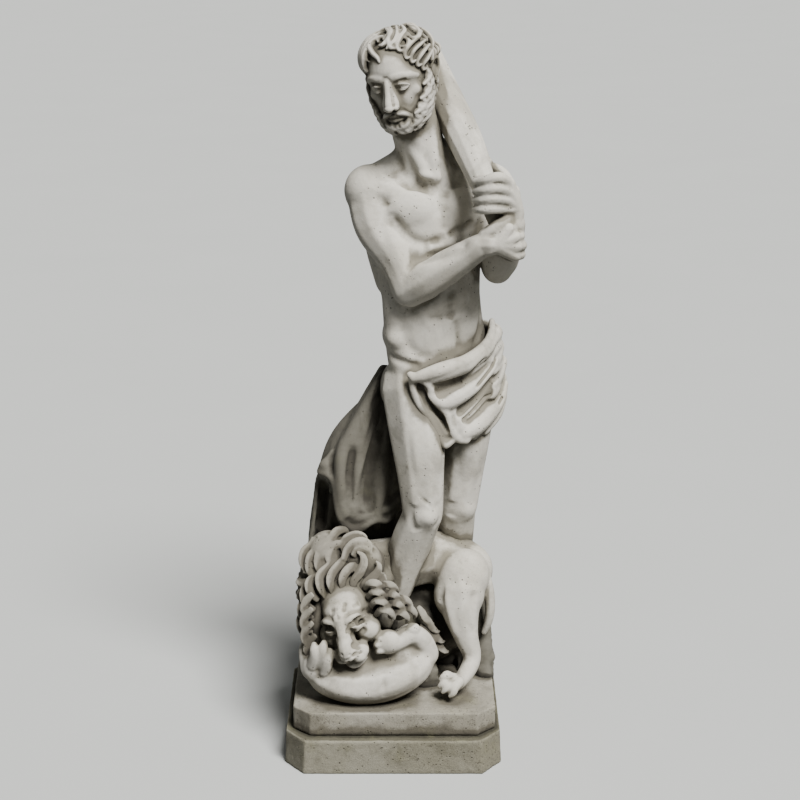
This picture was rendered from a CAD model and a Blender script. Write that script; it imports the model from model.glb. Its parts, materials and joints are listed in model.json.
"""The finished look of the cast concrete man and lion: finer carving over the solids, and its weathering.

Lengths are metres and +Z is up. The figures are drawn in units of their own: x runs to the viewer's
right, y away from the viewer and z up from the lower slab's top, a thousand units to the metre.
"""
import json
import math

import bmesh
import bpy
import numpy as np
from mathutils import Euler, Matrix, Quaternion, Vector
from mathutils.bvhtree import BVHTree

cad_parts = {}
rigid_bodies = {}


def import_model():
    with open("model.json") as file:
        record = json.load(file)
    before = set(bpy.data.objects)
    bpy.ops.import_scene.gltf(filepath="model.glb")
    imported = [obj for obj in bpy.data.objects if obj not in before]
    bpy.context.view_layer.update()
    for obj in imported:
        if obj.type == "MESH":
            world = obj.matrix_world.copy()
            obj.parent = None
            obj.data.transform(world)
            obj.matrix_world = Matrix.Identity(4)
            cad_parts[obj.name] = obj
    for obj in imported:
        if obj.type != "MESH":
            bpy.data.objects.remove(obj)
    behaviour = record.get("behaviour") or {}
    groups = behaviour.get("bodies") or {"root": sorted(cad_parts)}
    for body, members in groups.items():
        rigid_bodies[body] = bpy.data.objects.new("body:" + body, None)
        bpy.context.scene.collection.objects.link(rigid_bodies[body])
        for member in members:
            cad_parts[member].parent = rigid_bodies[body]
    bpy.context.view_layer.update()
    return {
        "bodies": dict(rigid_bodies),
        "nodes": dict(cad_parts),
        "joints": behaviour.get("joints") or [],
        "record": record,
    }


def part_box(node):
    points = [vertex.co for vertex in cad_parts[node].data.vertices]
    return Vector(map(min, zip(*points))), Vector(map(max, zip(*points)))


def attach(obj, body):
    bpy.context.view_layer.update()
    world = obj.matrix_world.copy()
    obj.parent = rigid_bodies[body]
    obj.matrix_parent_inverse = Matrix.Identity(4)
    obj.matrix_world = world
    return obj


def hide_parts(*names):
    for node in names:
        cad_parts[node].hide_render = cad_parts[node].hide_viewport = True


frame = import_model()

UNIT = 0.001
# The upper tier's top over the slab and the least radius of a stroke, in drawn units
TIER_TOP = 42
THINNEST = 0.15
# Radians from one lock's root to the next, which spreads the roots evenly over the scalp
SUNFLOWER_TURN = 2.39996
CAMERA_PLACE = (0.012, -3.136, 1.515)
CAMERA_DIP = 0.279
CAMERA_LENS = 85.5


def turned(origin, yaw=0.0, pitch=0.0, roll=0.0):
    """A frame at origin. yaw turns it to its left, pitch bows it forward and roll leans it sideways."""
    angles = (math.radians(pitch), math.radians(roll), math.radians(yaw))
    return Matrix.Translation(origin) @ Euler(angles, "YXZ").to_matrix().to_4x4()


# Where the figures' larger masses sit and how they turn, in drawn units and degrees
CHEST = turned((60, 20, 850), yaw=18)
BELLY = turned((66, 20, 700), yaw=27)
HIPS = turned((82, 26, 600), yaw=30)
HEAD = turned((14, -8, 1112), yaw=-20, pitch=15, roll=-10)
R_SHOULDER, R_ELBOW, R_WRIST = (-40, 10, 918), (27, -44, 758), (143, -103, 846)
L_SHOULDER, L_ELBOW, L_WRIST = (138, 72, 928), (176, 10, 786), (196, -84, 878)
R_HIP, R_KNEE, R_ANKLE = (35, 4, 578), (52, -40, 366), (-10, 2, 150)
L_HIP, L_KNEE, L_ANKLE = (126, 54, 574), (113, 42, 350), (112, 96, 150)
MUZZLE = turned((-80, -100, 196), yaw=-10, pitch=18, roll=-18)
MANE_MIDDLE = (-98, -44, 229)
SCALP_MIDDLE = Vector((0, 14, 21))
SCALP = Vector((53, 66, 52))
# The photographer's eye, and what a step to the right, down or back in its view comes to in drawn units
EYE = Vector((12, -3136, 1455))
STEP_RIGHT, STEP_DOWN, SINK_GOING_BACK = 1.66, 1.75, 0.46


def smooth_path(knots, per_span=5):
    """Rows read from a smooth curve through the knots, whose columns are x, y, z and radius."""
    k = np.array(knots, float)
    ends = np.vstack([2 * k[:1] - k[1:2], k, 2 * k[-1:] - k[-2:-1]])
    t = np.arange(per_span)[:, None] / per_span
    rows = []
    for a, b, c, d in zip(ends, ends[1:], ends[2:], ends[3:]):
        square = 2 * a - 5 * b + 4 * c - d
        cube = 3 * b - a - 3 * c + d
        rows.append(b + 0.5 * ((c - a) * t + square * t**2 + cube * t**3))
    return np.vstack(rows + [k[-1:]])


def domed(path):
    """The path with a half-round dome added at each end, so that a stroke has no flat cap."""
    def dome(tip, inner):
        """The rounded end of a stroke: rings that shrink from the inner end to the tip."""
        along = tip[:3] - inner[:3]
        along /= np.linalg.norm(along) + 1e-9
        turn = np.radians([28, 55, 80])[:, None]
        return np.hstack([tip[:3] + along * tip[3] * np.sin(turn), tip[3] * np.cos(turn)])
    return np.vstack([dome(path[0], path[1])[::-1], path, dome(path[-1], path[-2])])


def mesh_from(bm, name):
    """A mesh with the shape that was worked up in bm."""
    made = bpy.data.meshes.new(name)
    bm.to_mesh(made)
    bm.free()
    return made


class Clay:
    """Overlapping strokes and balls of clay, which fused() makes one skin."""

    def __init__(self, frame=Matrix(), sides=2):
        self.frame = frame
        self.lumps = bmesh.new()
        self.curve = bpy.data.curves.new("strokes", "CURVE")
        self.curve.dimensions = "3D"
        self.curve.bevel_depth = 1.0
        self.curve.bevel_resolution = sides
        self.curve.use_fill_caps = True

    def ball(self, centre, radii, turn=(0, 0, 0), detail=3):
        """An ellipsoid of clay, turned by degrees about its own axes."""
        angles = [math.radians(a) for a in turn]
        place = Matrix.LocRotScale(Vector(centre), Euler(angles), Vector(radii))
        bmesh.ops.create_icosphere(self.lumps, subdivisions=detail, radius=1, matrix=self.frame @ place)

    def boulder(self, centre, radii, turn):
        """A block with worn corners."""
        angles = [math.radians(a) for a in turn]
        place = Matrix.LocRotScale(Vector(centre), Euler(angles), 1.7 * Vector(radii))
        block = bmesh.ops.create_cube(self.lumps, size=1, matrix=self.frame @ place)
        edges = {e for v in block["verts"] for e in v.link_edges}
        bmesh.ops.bevel(self.lumps, geom=list(edges), offset=0.45 * min(radii), segments=2, profile=0.6,
                        affect="EDGES")

    def stroke(self, *rolls, per_span=5):
        """Round rolls of clay, each along a smooth curve, with a radius given at each knot."""
        turn = np.array(self.frame)
        for knots in rolls:
            path = smooth_path(knots, per_span)
            path[:, 3] = np.maximum(path[:, 3], THINNEST)
            path = domed(path)
            places = path[:, :3] @ turn[:3, :3].T + turn[:3, 3]
            spline = self.curve.splines.new("POLY")
            spline.points.add(len(path) - 1)
            spline.points.foreach_set("co", np.c_[places, np.ones(len(places))].ravel())
            spline.points.foreach_set("radius", path[:, 3])

    def pair(self, *rolls, **more):
        """The same strokes on the left and, mirrored, on the right."""
        for side in (1, -1):
            self.stroke(*([(side * x, *rest) for x, *rest in knots] for knots in rolls), **more)

    def pair_ball(self, centre, radii, turn=(0, 0, 0), **more):
        """The same ball on both sides of the frame."""
        x, y, z = centre
        a, b, c = turn
        self.ball(centre, radii, turn, **more)
        self.ball((-x, y, z), radii, (a, -b, -c), **more)

    def mesh(self, name):
        """All the strokes and balls, still overlapping, as one mesh."""
        guide = bpy.data.objects.new("strokes", self.curve)
        bpy.context.scene.collection.objects.link(guide)
        if self.curve.splines:
            graph = bpy.context.evaluated_depsgraph_get()
            tubes = bpy.data.meshes.new_from_object(guide.evaluated_get(graph))
            self.lumps.from_mesh(tubes)
        bpy.data.objects.remove(guide)
        return mesh_from(self.lumps, name)


def linked(name, mesh):
    """A new object that holds a mesh, linked to the scene."""
    made = bpy.data.objects.new(name, mesh)
    bpy.context.scene.collection.objects.link(made)
    return made


def treated(mesh, kind, **settings):
    """The mesh with one modifier worked into it."""
    holder = linked("work", mesh)
    modifier = holder.modifiers.new("work", kind)
    for name, value in settings.items():
        setattr(modifier, name, value)
    graph = bpy.context.evaluated_depsgraph_get()
    made = bpy.data.meshes.new_from_object(holder.evaluated_get(graph))
    bpy.data.objects.remove(holder)
    return made


def joined(meshes):
    """One mesh holding them all."""
    bm = bmesh.new()
    for mesh in meshes:
        bm.from_mesh(mesh)
    return mesh_from(bm, "joined")


def fused(meshes, voxel, soften=4):
    """One closed skin over all the meshes, its creases softened that many times."""
    skin = treated(joined(meshes), "REMESH", mode="VOXEL", voxel_size=voxel)
    return treated(skin, "SMOOTH", factor=0.5, iterations=soften)


def rough(mesh, size, depth):
    """Breaks an even surface up into lumps and hollows of about the size."""
    cloud = bpy.data.textures.new("lumps", "CLOUDS")
    cloud.noise_scale = size
    cloud.noise_depth = 3
    return treated(mesh, "DISPLACE", texture=cloud, texture_coords="LOCAL", strength=depth, mid_level=0.5)


def points_of(mesh):
    """The places of a mesh's points, one row each."""
    co = np.empty(len(mesh.vertices) * 3, np.float32)
    mesh.vertices.foreach_get("co", co)
    return co.reshape(-1, 3).astype(float)


def normals_of(mesh):
    """The outward direction at each of a mesh's points."""
    out = np.empty(len(mesh.vertices) * 3, np.float32)
    mesh.vertex_normals.foreach_get("vector", out)
    return out.reshape(-1, 3).astype(float)


def move_points(mesh, points):
    """Puts a mesh's points at new places."""
    mesh.vertices.foreach_set("co", points.astype(np.float32).ravel())
    mesh.update()


def distance_to(points, path):
    """Each point's distance to the nearest stretch of the path, and how far along it that is, 0 to 1."""
    best = np.full(len(points), np.inf)
    along = np.zeros(len(points))
    count = len(path) - 1
    for i in range(count):
        a, d = path[i, :3], path[i + 1, :3] - path[i, :3]
        t = np.clip((points - a) @ d / max(d @ d, 1e-9), 0, 1)
        far = np.linalg.norm(points - a - t[:, None] * d, axis=1)
        near = far < best
        best[near] = far[near]
        along[near] = (i + t[near]) / count
    return best, along


def carve(mesh, frame, marks):
    """Presses grooves in or raises ridges. A mark is its knots, width and depth, positive inwards."""
    points = points_of(mesh)
    turn = np.array(frame)
    for knots, width, depth in marks:
        line = [(*k, 0) for k in knots]
        path = smooth_path(line, 4) if len(line) > 1 else np.array(line * 2)
        path = path[:, :3] @ turn[:3, :3].T + turn[:3, 3]
        reach = 2.6 * width
        low, high = path.min(0) - reach, path.max(0) + reach
        near = np.flatnonzero(((points > low) & (points < high)).all(1))
        if not len(near):
            continue
        normals = normals_of(mesh)[near]
        far, along = distance_to(points[near], path)
        ends = np.clip(8 * along * (1 - along), 0, 1) if len(knots) > 1 else 1
        points[near] -= normals * (depth * ends * np.exp(-((far / width) ** 2)))[:, None]
        move_points(mesh, points)
    return mesh


def both(marks, middle=0, skew=0):
    """The marks on both sides of x = middle. skew brings the right side forward and puts the other back."""
    made = []
    for side in (1, -1):
        for knots, width, depth in marks:
            made.append(([(middle + side * x, y - skew * side, z) for x, y, z in knots], width, depth))
    return made


def loft(rings, sides=28):
    """A closed skin over oval rings. Each ring is centre, half width, half depth and yaw."""
    bm = bmesh.new()
    loops = []
    for x, y, z, wide, deep, yaw in rings:
        turn = Euler((0, 0, math.radians(yaw)))
        place = Matrix.LocRotScale(Vector((x, y, z)), turn, Vector((wide, deep, 1)))
        caps = (x, y, z) in (rings[0][:3], rings[-1][:3])
        ring = bmesh.ops.create_circle(bm, segments=sides, radius=1, matrix=place, cap_ends=caps)["verts"]
        loops.append(list({e for v in ring for e in v.link_edges}))
    for low, high in zip(loops, loops[1:]):
        bmesh.ops.bridge_loops(bm, edges=low + high)
    bmesh.ops.recalc_face_normals(bm, faces=bm.faces)
    return mesh_from(bm, "loft")


def between(a, b, t, lift=(0, 0, 0)):
    """The spot part of the way from one place to another, lifted off the line."""
    return tuple(p + (q - p) * t + r for p, q, r in zip(a, b, lift))


def torso():
    """The chest, ribs, belly and hips, with the muscles that show."""
    core = loft([(82, 32, 530, 60, 40, 30), (82, 30, 552, 84, 56, 30), (82, 28, 600, 95, 60, 30),
                 (77, 26, 640, 96, 57, 29), (69, 22, 690, 92, 53, 27), (65, 20, 735, 89, 53, 24),
                 (61, 20, 785, 92, 57, 21), (59, 20, 835, 99, 61, 18), (58, 22, 880, 100, 60, 18),
                 (57, 26, 915, 94, 50, 18), (56, 30, 940, 76, 40, 18), (56, 32, 962, 50, 32, 18)])
    clay = Clay(CHEST)
    clay.pair_ball((42, -34, 34), (46, 22, 42), (6, 0, 10))
    clay.pair(
        [(58, -22, 66, 20), (80, -4, 70, 26), (94, 12, 66, 30)],
        [(36, 40, 84, 26), (56, 38, 30, 28), (48, 34, -60, 26), (30, 32, -130, 22)],
        [(88, 14, 36, 22), (84, 18, -20, 24), (70, 14, -90, 20)],
    )
    parts = [core, clay.mesh("chest")]
    clay = Clay(BELLY)
    clay.pair_ball((22, -36, 40), (30, 20, 70))
    clay.ball((0, -30, -40), (50, 22, 44))
    clay.pair_ball((60, 0, -26), (30, 38, 34))
    parts.append(clay.mesh("belly"))
    clay = Clay(HIPS)
    clay.pair_ball((46, 40, -30), (46, 46, 54))
    parts.append(clay.mesh("hips"))
    return parts


def arm(shoulder, elbow, wrist, front, outward):
    """One arm from shoulder to wrist, with the swell of its muscles."""
    clay = Clay()
    clay.ball(shoulder, (42, 42, 44))
    clay.stroke(
        [(*shoulder, 40), (*between(shoulder, elbow, 0.35, outward), 39),
         (*between(shoulder, elbow, 0.65), 33), (*between(shoulder, elbow, 0.85), 28), (*elbow, 28)],
        [(*between(shoulder, elbow, 0.25, front), 18), (*between(shoulder, elbow, 0.55, front), 27),
         (*between(shoulder, elbow, 0.88, front), 16)],
        [(*elbow, 28), (*between(elbow, wrist, 0.28), 33), (*between(elbow, wrist, 0.65), 28),
         (*wrist, 22)],
    )
    return clay.mesh("arm")


def leg(hip, knee, ankle, front):
    """One leg from hip to ankle, with thigh, knee and calf."""
    clay = Clay()
    forward = Vector(front)
    clay.stroke(
        [(*hip, 58), (*between(hip, knee, 0.3, forward * 0.1), 53),
         (*between(hip, knee, 0.7, forward * 0.1), 43), (*knee, 37)],
        [(*between(hip, knee, 0.1, forward * 0.6), 34), (*between(hip, knee, 0.45, forward * 0.8), 36),
         (*between(hip, knee, 0.85, forward * 0.5), 24)],
    )
    clay.ball(Vector(knee) + forward * 0.5, (26, 22, 28))
    clay.stroke(
        [(*knee, 35), (*between(knee, ankle, 0.3, forward * -0.3), 37),
         (*between(knee, ankle, 0.65, forward * -0.1), 29), (*ankle, 20)],
        [(*between(knee, ankle, 0.05, forward * -0.6), 22),
         (*between(knee, ankle, 0.3, forward * -0.9), 26),
         (*between(knee, ankle, 0.6, forward * -0.6), 15)],
    )
    return clay.mesh("leg")


def neck():
    """The neck, its two cords and the slope of the shoulders."""
    clay = Clay()
    clay.stroke(
        [(58, 28, 930, 52), (50, 20, 975, 44), (36, 10, 1025, 41), (24, 6, 1075, 38)],
        [(72, -18, 944, 10), (66, -15, 975, 13), (60, -2, 1025, 15), (56, 10, 1062, 14)],
        [(58, -22, 944, 10), (34, -14, 990, 12), (8, 4, 1040, 12)],
    )
    for side in (1, -1):
        clay.stroke([(42 + 8 * side, 30, 1000, 24), (56 + 40 * side, 34 + 10 * side, 966, 24),
                     (52 + 76 * side, 36 + 24 * side, 940, 26)])
    return clay.mesh("neck")


def body_masses():
    """The trunk, limbs and neck, before they are softened into each other."""
    return torso() + [
        arm(R_SHOULDER, R_ELBOW, R_WRIST, (4, -12, 2), (-11, 0, 0)),
        arm(L_SHOULDER, L_ELBOW, L_WRIST, (2, -12, -2), (4, 6, 0)),
        leg(R_HIP, R_KNEE, R_ANKLE, (10, -28, 4)),
        leg(L_HIP, L_KNEE, L_ANKLE, (14, -26, 4)),
        neck(),
    ]


def hand(palm, fingers, thumb, thick=9.5):
    """A hand. palm is strokes for its back, and each finger is its knuckle, joints and tip."""
    clay = Clay()
    clay.stroke(*palm)
    for finger in fingers:
        clay.stroke([(*spot, thick * share) for spot, share in zip(finger, (1.0, 0.98, 0.9, 0.75))],
                    per_span=4)
    clay.stroke(thumb, per_span=4)
    return clay.mesh("hand")


def left_hand():
    """The upper hand, whose fingers close round the club."""
    knuckles = [(187, -104, 949), (188, -104, 935), (188, -102, 921), (185, -100, 907)]
    palm = [[(196, -84, 880, 18), (199, -90, 905, 14), (*k, 11)] for k in knuckles]
    palm.append([(196, -80, 890, 16), (196, -72, 930, 12)])
    fingers = []
    for n, (x, y, z) in enumerate(knuckles):
        fingers.append([(x, y, z), (170 - 3 * n, y - 22, z + 13 - 3 * n),
                        (150 - 2 * n, y - 20, z + 8 - 2 * n), (134, y - 2, z + 2 - n)])
    thumb = [(196, -70, 915, 12), (185, -55, 950, 10), (165, -50, 965, 9), (145, -58, 968, 8)]
    return hand(palm, fingers, thumb)


def right_hand():
    """The lower hand, which reaches across the chest and closes on the club's end."""
    knuckles = [(186, -112, 876), (197, -108, 862), (201, -104, 846), (199, -100, 830)]
    palm = [[(143, -103, 846, 20), (165, -113, 850, 15), (*k, 11)] for k in knuckles]
    fingers = []
    for x, y, z in knuckles:
        fingers.append([(x, y, z), (x + 10, y + 18, z - 2), (x + 4, y + 38, z - 4),
                        (x - 14, y + 44, z - 4)])
    thumb = [(150, -104, 862, 13), (170, -108, 880, 11), (186, -98, 890, 9.5), (190, -80, 890, 8)]
    return hand(palm, fingers, thumb)


def body_marks():
    """The muscles of the trunk's sides and back, and the collarbones, in the chest's frame."""
    return both([
        ([(82, -34, 30), (84, -30, 56)], 8, 4),
        ([(10, -50, 96), (40, -42, 100), (78, -16, 98)], 6, -3),
        ([(14, -50, 86), (44, -42, 88), (76, -22, 86)], 7, 3),
        ([(50, 50, 84), (62, 50, 50), (44, 56, 28)], 13, -6),
        ([(26, 54, 90), (34, 56, 40)], 10, 3),
        ([(80, 34, 30), (66, 44, -30)], 12, 3),
    ], middle=8, skew=2) + [
        ([(4, -48, 110)], 10, 3),
        ([(0, 56, 100), (0, 58, 20), (0, 56, -90)], 9, 5),
    ]


def leg_marks():
    """Hollows and rises of the knees and shins."""
    return [
        ([(60, -78, 366)], 13, -4),
        ([(38, -70, 392), (34, -66, 366), (42, -66, 340)], 8, 4),
        ([(80, -68, 394), (84, -62, 366), (74, -68, 342)], 8, 3.5),
        ([(58, -74, 400), (54, -76, 396)], 12, 2),
        ([(50, -74, 334), (28, -60, 270), (2, -36, 190)], 9, -2.5),
        ([(124, 6, 352)], 12, -3),
        ([(104, 10, 372), (100, 12, 340)], 7, 3),
    ]


def body(voxel):
    """The man's bare body as one skin, from the neck to the shins, with both hands."""
    made = fused([fused(body_masses(), 3.0, 14), left_hand(), right_hand()], voxel, 3)
    carve(made, CHEST, body_marks())
    return carve(made, Matrix(), leg_marks())


def club():
    """The short thick club, wider at its head and knotted."""
    clay = Clay(sides=4)
    clay.stroke([(190, -86, 828, 14), (183, -88, 850, 15), (171, -88, 885, 17), (146, -70, 946, 22),
                 (122, -16, 1000, 29), (88, 48, 1062, 31), (54, 98, 1120, 34)])
    for x, y, z, r in ((150, -50, 968, 15), (134, -34, 1000, 14), (104, 0, 1030, 18), (88, 70, 1080, 16),
                       (60, 70, 1110, 16)):
        clay.ball((x, y, z), (r, r, r * 1.2))
    return clay.mesh("club")


def head_masses():
    """The skull, jaw, brow and cheeks, which are softened before the features go on."""
    face = loft([(0, -30, -83, 12, 22, 0), (0, -26, -77, 24, 34, 0), (0, -20, -66, 34, 43, 0),
                 (0, -16, -50, 41, 47, 0), (0, -14, -34, 46, 48, 0), (0, -12, -18, 49, 49, 0),
                 (0, -10, -4, 50, 50, 0), (0, -8, 10, 49, 55, 0), (0, -6, 26, 49, 57, 0),
                 (0, -2, 44, 45, 53, 0), (0, 4, 58, 36, 44, 0)])
    face.transform(HEAD)
    clay = Clay(HEAD, sides=3)
    clay.ball((0, 12, 20), (54, 67, 54), detail=4)
    clay.pair_ball((30, -35, -15), (16, 14, 15), detail=4)
    clay.pair(
        [(41, 0, -34, 12), (34, -18, -54, 13), (18, -38, -72, 12)],
        [(4, -56, 12, 8), (18, -56, 14, 8), (31, -47, 14, 8), (40, -33, 8, 8)],
    )
    clay.ball((0, -46, -46), (28, 22, 20), detail=4)
    clay.ball((0, -50, -72), (18, 16, 12), detail=4)
    clay.stroke([(0, -52, 14, 10), (0, -56, -4, 11), (0, -60, -24, 14)])
    return [face, clay.mesh("head")]


def head_features():
    """The nose, eyes, lips and ears."""
    clay = Clay(HEAD, sides=3)
    clay.stroke([(0, -61, 12, 5), (0, -67, 2, 5), (0, -73, -11, 5.5), (0, -79, -22, 6.5), (0, -80, -27, 7)])
    clay.pair([(3, -62, 6, 5), (5, -64, -10, 6), (8, -69, -24, 6.5), (9, -70, -30, 5)])
    clay.ball((0, -81, -28), (7.5, 7.5, 6.5), detail=4)
    clay.pair_ball((9, -71, -30), (5, 8.5, 5.5), detail=3)
    clay.pair_ball((20.5, -49, -1), (11.5, 11.5, 10.5), detail=4)
    clay.pair(
        [(9.5, -54, -1.5, 1.2), (14, -59, 3, 2.1), (21, -60.8, 5, 2.4), (28, -57.5, 3, 2.2),
         (32.5, -51, -1.5, 1.6)],
        [(9.5, -54, -2.5, 1.1), (15, -58.5, -5.5, 1.5), (22, -59, -7, 1.6), (28, -56, -5.5, 1.5),
         (32.5, -51, -2.5, 1.2)],
        [(19, -58, -49, 1.8), (11, -65.5, -46.5, 3.2), (4, -69, -44.5, 3.6), (0, -69.5, -45.5, 3.2)],
        [(17, -58, -50.5, 2), (9, -65, -52.5, 3.8), (0, -67.5, -53.5, 4.2)],
        [(52, 3, 6, 3.5), (57, 11, 16, 4), (59, 22, 12, 4), (57, 23, -4, 3.5), (52, 10, -19, 4)],
    )
    clay.pair_ball((52, 12, -2), (4, 10, 14))
    return clay.mesh("features")


def face_marks():
    """Grooves and rises worked into the finished face: knots, width and depth."""
    return both([
        ([(11, -60, 6), (20, -60, 10), (32, -54, 8)], 3.2, 2.4),
        ([(9, -56, 2), (10, -56, -4)], 4.0, 2.5),
        ([(12, -56, -1), (21, -61, -1.5), (31, -54, -2.5)], 1.1, 0.9),
        ([(13, -56, -12), (22, -58, -14), (30, -54, -12)], 3.0, 1.0),
        ([(13, -66, -33), (19, -60, -42), (23, -54, -52)], 3.0, 1.8),
        ([(3.5, -78, -36), (6, -74, -35)], 2.4, 2.6),
        ([(5, -64, 16), (18, -64, 21), (34, -55, 20)], 4.0, -1.2),
        ([(38, -46, 26), (44, -34, 34)], 8.0, 1.5),
    ]) + [
        ([(-19, -62, -50), (-8, -71, -49.3), (0, -72, -49.8), (8, -71, -49.3), (19, -62, -50)], 1.3, 2.6),
        ([(0, -72, -38), (0, -72, -42)], 2.2, 1.4),
        ([(-10, -62, -61), (0, -65, -62), (10, -62, -61)], 4.0, 2.2),
        ([(0, -62, 20), (0, -62, 13)], 3.5, 1.0),
    ]


def face(voxel):
    """The bare face and skull as one skin, with the marks worked in."""
    made = fused([fused(head_masses(), 2.2, 16), head_features()], voxel, 2)
    return carve(made, HEAD, face_marks())


def girth(thick, share):
    """The radius of a lock, fine at its root, share 0, and at its tip, share 1."""
    return thick * (0.5 + 0.62 * math.sin(math.pi * share))


def comma(clay, thick, *spots):
    """A lock of hair through the given spots, thick in its belly and fine at its tip."""
    last = len(spots) - 1
    clay.stroke([(*spot, girth(thick, 0.12 + 0.82 * n / last)) for n, spot in enumerate(spots)], per_span=4)


def on_scalp(direction):
    """The place where a direction from the head's middle meets the scalp, and the way out there."""
    reach = 1 / math.sqrt(sum((a / r) ** 2 for a, r in zip(direction, SCALP)))
    out = Vector(a * reach / r ** 2 for a, r in zip(direction, SCALP)).normalized()
    return SCALP_MIDDLE + Vector(direction) * reach, out


def lock(clay, start, flow, reach, thick, hook):
    """A lock that follows the scalp the way it flows and curls in at its tip."""
    place, out = on_scalp(Vector(start) - SCALP_MIDDLE)
    flow = Vector(flow)
    knots = []
    for step in range(7):
        t = step / 6
        knots.append((*(place + out * (0.5 + 3.5 * t)), girth(thick, 0.15 + 0.78 * t)))
        ahead = (flow - out * flow.dot(out)).normalized()
        ahead.rotate(Quaternion(out, math.radians(hook * (230 * t * t - 30))))
        place, out = on_scalp(place + ahead * reach / 6 - SCALP_MIDDLE)
    clay.stroke(knots, per_span=3)


def hair(locks=112):
    """Thick hair in curling locks: the brow's one by one, the rest in rows that flow from the crown."""
    clay = Clay(HEAD, sides=1)
    clay.ball(SCALP_MIDDLE, SCALP - Vector((1, 1, 1)), detail=4)
    crown = on_scalp((0, 0.3, 0.95))[0]
    for n in range(locks):
        z = 0.985 - 1.45 * (n + 0.5) / locks
        around = n * SUNFLOWER_TURN
        flat = math.sqrt(1 - z * z)
        x, y = flat * math.cos(around), flat * math.sin(around)
        on_brow = y < -0.12 and z < 0.9
        on_cheek = abs(x) > 0.55 and y < 0.3 and z < 0.12
        if on_brow or on_cheek:
            continue
        start = SCALP_MIDDLE + Vector((x * SCALP.x, y * SCALP.y, z * SCALP.z))
        flow = (start - crown).normalized() + Vector((0.5 * math.sin(3.1 * n), 0, -0.35))
        lock(clay, start, flow, 25 + 5 * math.sin(7.3 * n), 4.5 + 0.7 * math.sin(5 * n), 1 if n % 3 else -1)
    drawn = [
        # the brow's locks, from the viewer's left: a smooth sweep, a fine lock on it, and the large S
        (8, (-24, 6, 71), (-38, -4, 64), (-50, -14, 49), (-51, -24, 34), (-46, -31, 23)),
        (8, (-26, -6, 70), (-38, -16, 60), (-45, -28, 44), (-43, -36, 31), (-37, -41, 26)),
        (8, (-20, -12, 69), (-31, -24, 60), (-38, -34, 49), (-41, -37, 38), (-40, -39, 29)),
        (2.3, (-49, -14, 54), (-45, -24, 50), (-37, -37, 46), (-27, -46, 42)),
        (5, (-3, -16, 71), (-16, -16, 70), (-27, -20, 66), (-28, -30, 61), (-20, -42, 55), (-10, -50, 48),
         (-7, -54, 43)),
        # the middle clumps, with hollows between them
        (4.2, (-18, 0, 73), (-21, -9, 70), (-13, -25, 67)),
        (4.8, (-9, 8, 76), (3, -10, 74), (4, -25, 68), (-1, -36, 64), (-8, -35, 63)),
        (5, (-3, 10, 76), (7, -11, 74), (6, -27, 68), (11, -39, 60), (17, -40, 57)),
        (4.8, (9, 10, 76), (17, -13, 71), (17, -29, 65), (11, -37, 62), (6, -41, 59)),
        (4.8, (16, 15, 75), (26, -2, 71), (24, -19, 67), (21, -33, 59), (25, -39, 52), (31, -36, 50)),
        (4.6, (22, 26, 72), (33, 26, 67), (43, 14, 60), (44, -1, 57), (37, -8, 60), (31, -2, 66)),
        (4, (29, -14, 64), (36, -19, 59), (35, -28, 54), (28, -32, 56)),
        # four separate commas down to the temple
        (4.0, (45, 4, 55), (42, -13, 56), (37, -27, 53), (32, -36, 46), (34, -41, 39), (39, -39, 39)),
        (4.0, (52, 8, 48), (50, -10, 48), (44, -25, 45), (39, -34, 37), (41, -38, 30), (46, -35, 31)),
        (4.0, (56, 12, 39), (56, -5, 39), (52, -20, 35), (46, -29, 28), (46, -32, 21), (51, -28, 21)),
        (4.0, (58, 18, 30), (59, 3, 29), (56, -12, 24), (50, -22, 18), (50, -24, 11), (54, -20, 11)),
        (4.6, (34, 40, 60), (48, 34, 50), (55, 28, 39), (58, 18, 34)),
        # the other temple, plainer
        (5, (-55, 10, 38), (-55, -5, 33), (-52, -17, 25), (-47, -24, 16), (-49, -19, 10)),
        (5, (-57, 20, 28), (-58, 5, 24), (-55, -8, 15), (-51, -14, 8)),
    ]
    for thick, *spots in drawn:
        comma(clay, thick, *spots)
    # over the ears and down the nape
    for side in (1, -1):
        for n in range(4):
            comma(clay, 4.6, (side * 53, 4 + 12 * n, 36 - n), (side * 58, 7 + 12 * n, 27 - n),
                  (side * 57, 2 + 12 * n, 18), (side * 54, 8 + 12 * n, 15))
        for n in range(5):
            wide = math.radians(82 - 17 * n)
            for row in range(3):
                around = 44 - 3 * row
                top = Vector((side * around * math.sin(wide), 14 + (around + 5) * math.cos(wide),
                              -4 - 12 * row))
                out = Vector((side * math.sin(wide), math.cos(wide), 0))
                turn = Vector((-out.y, out.x, 0)) * (5 if (n + row) % 2 else -5)
                comma(clay, 5.2, top + out, top + out * 4 + turn * 0.3 - Vector((0, 0, 7)),
                      top + out * 5 + turn - Vector((0, 0, 13)),
                      top + out * 3 + turn * 2 - Vector((0, 0, 15)))
    return clay.mesh("hair")


def on_jaw(turn, z):
    """The spot on the jaw at a height, turned so far from the face's middle, and the way out there."""
    heights = (-83, -77, -66, -50, -20, 0)
    wide = np.interp(z, heights, (17, 28, 38, 45, 51, 51))
    deep = np.interp(z, heights, (24, 35, 44, 48, 49, 50))
    middle = np.interp(z, heights, (-30, -26, -20, -16, -12, -10))
    angle = math.radians(turn)
    out = Vector((math.sin(angle), -math.cos(angle), -0.15))
    return Vector((wide * math.sin(angle), middle - deep * math.cos(angle), z)), out.normalized()


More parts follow.
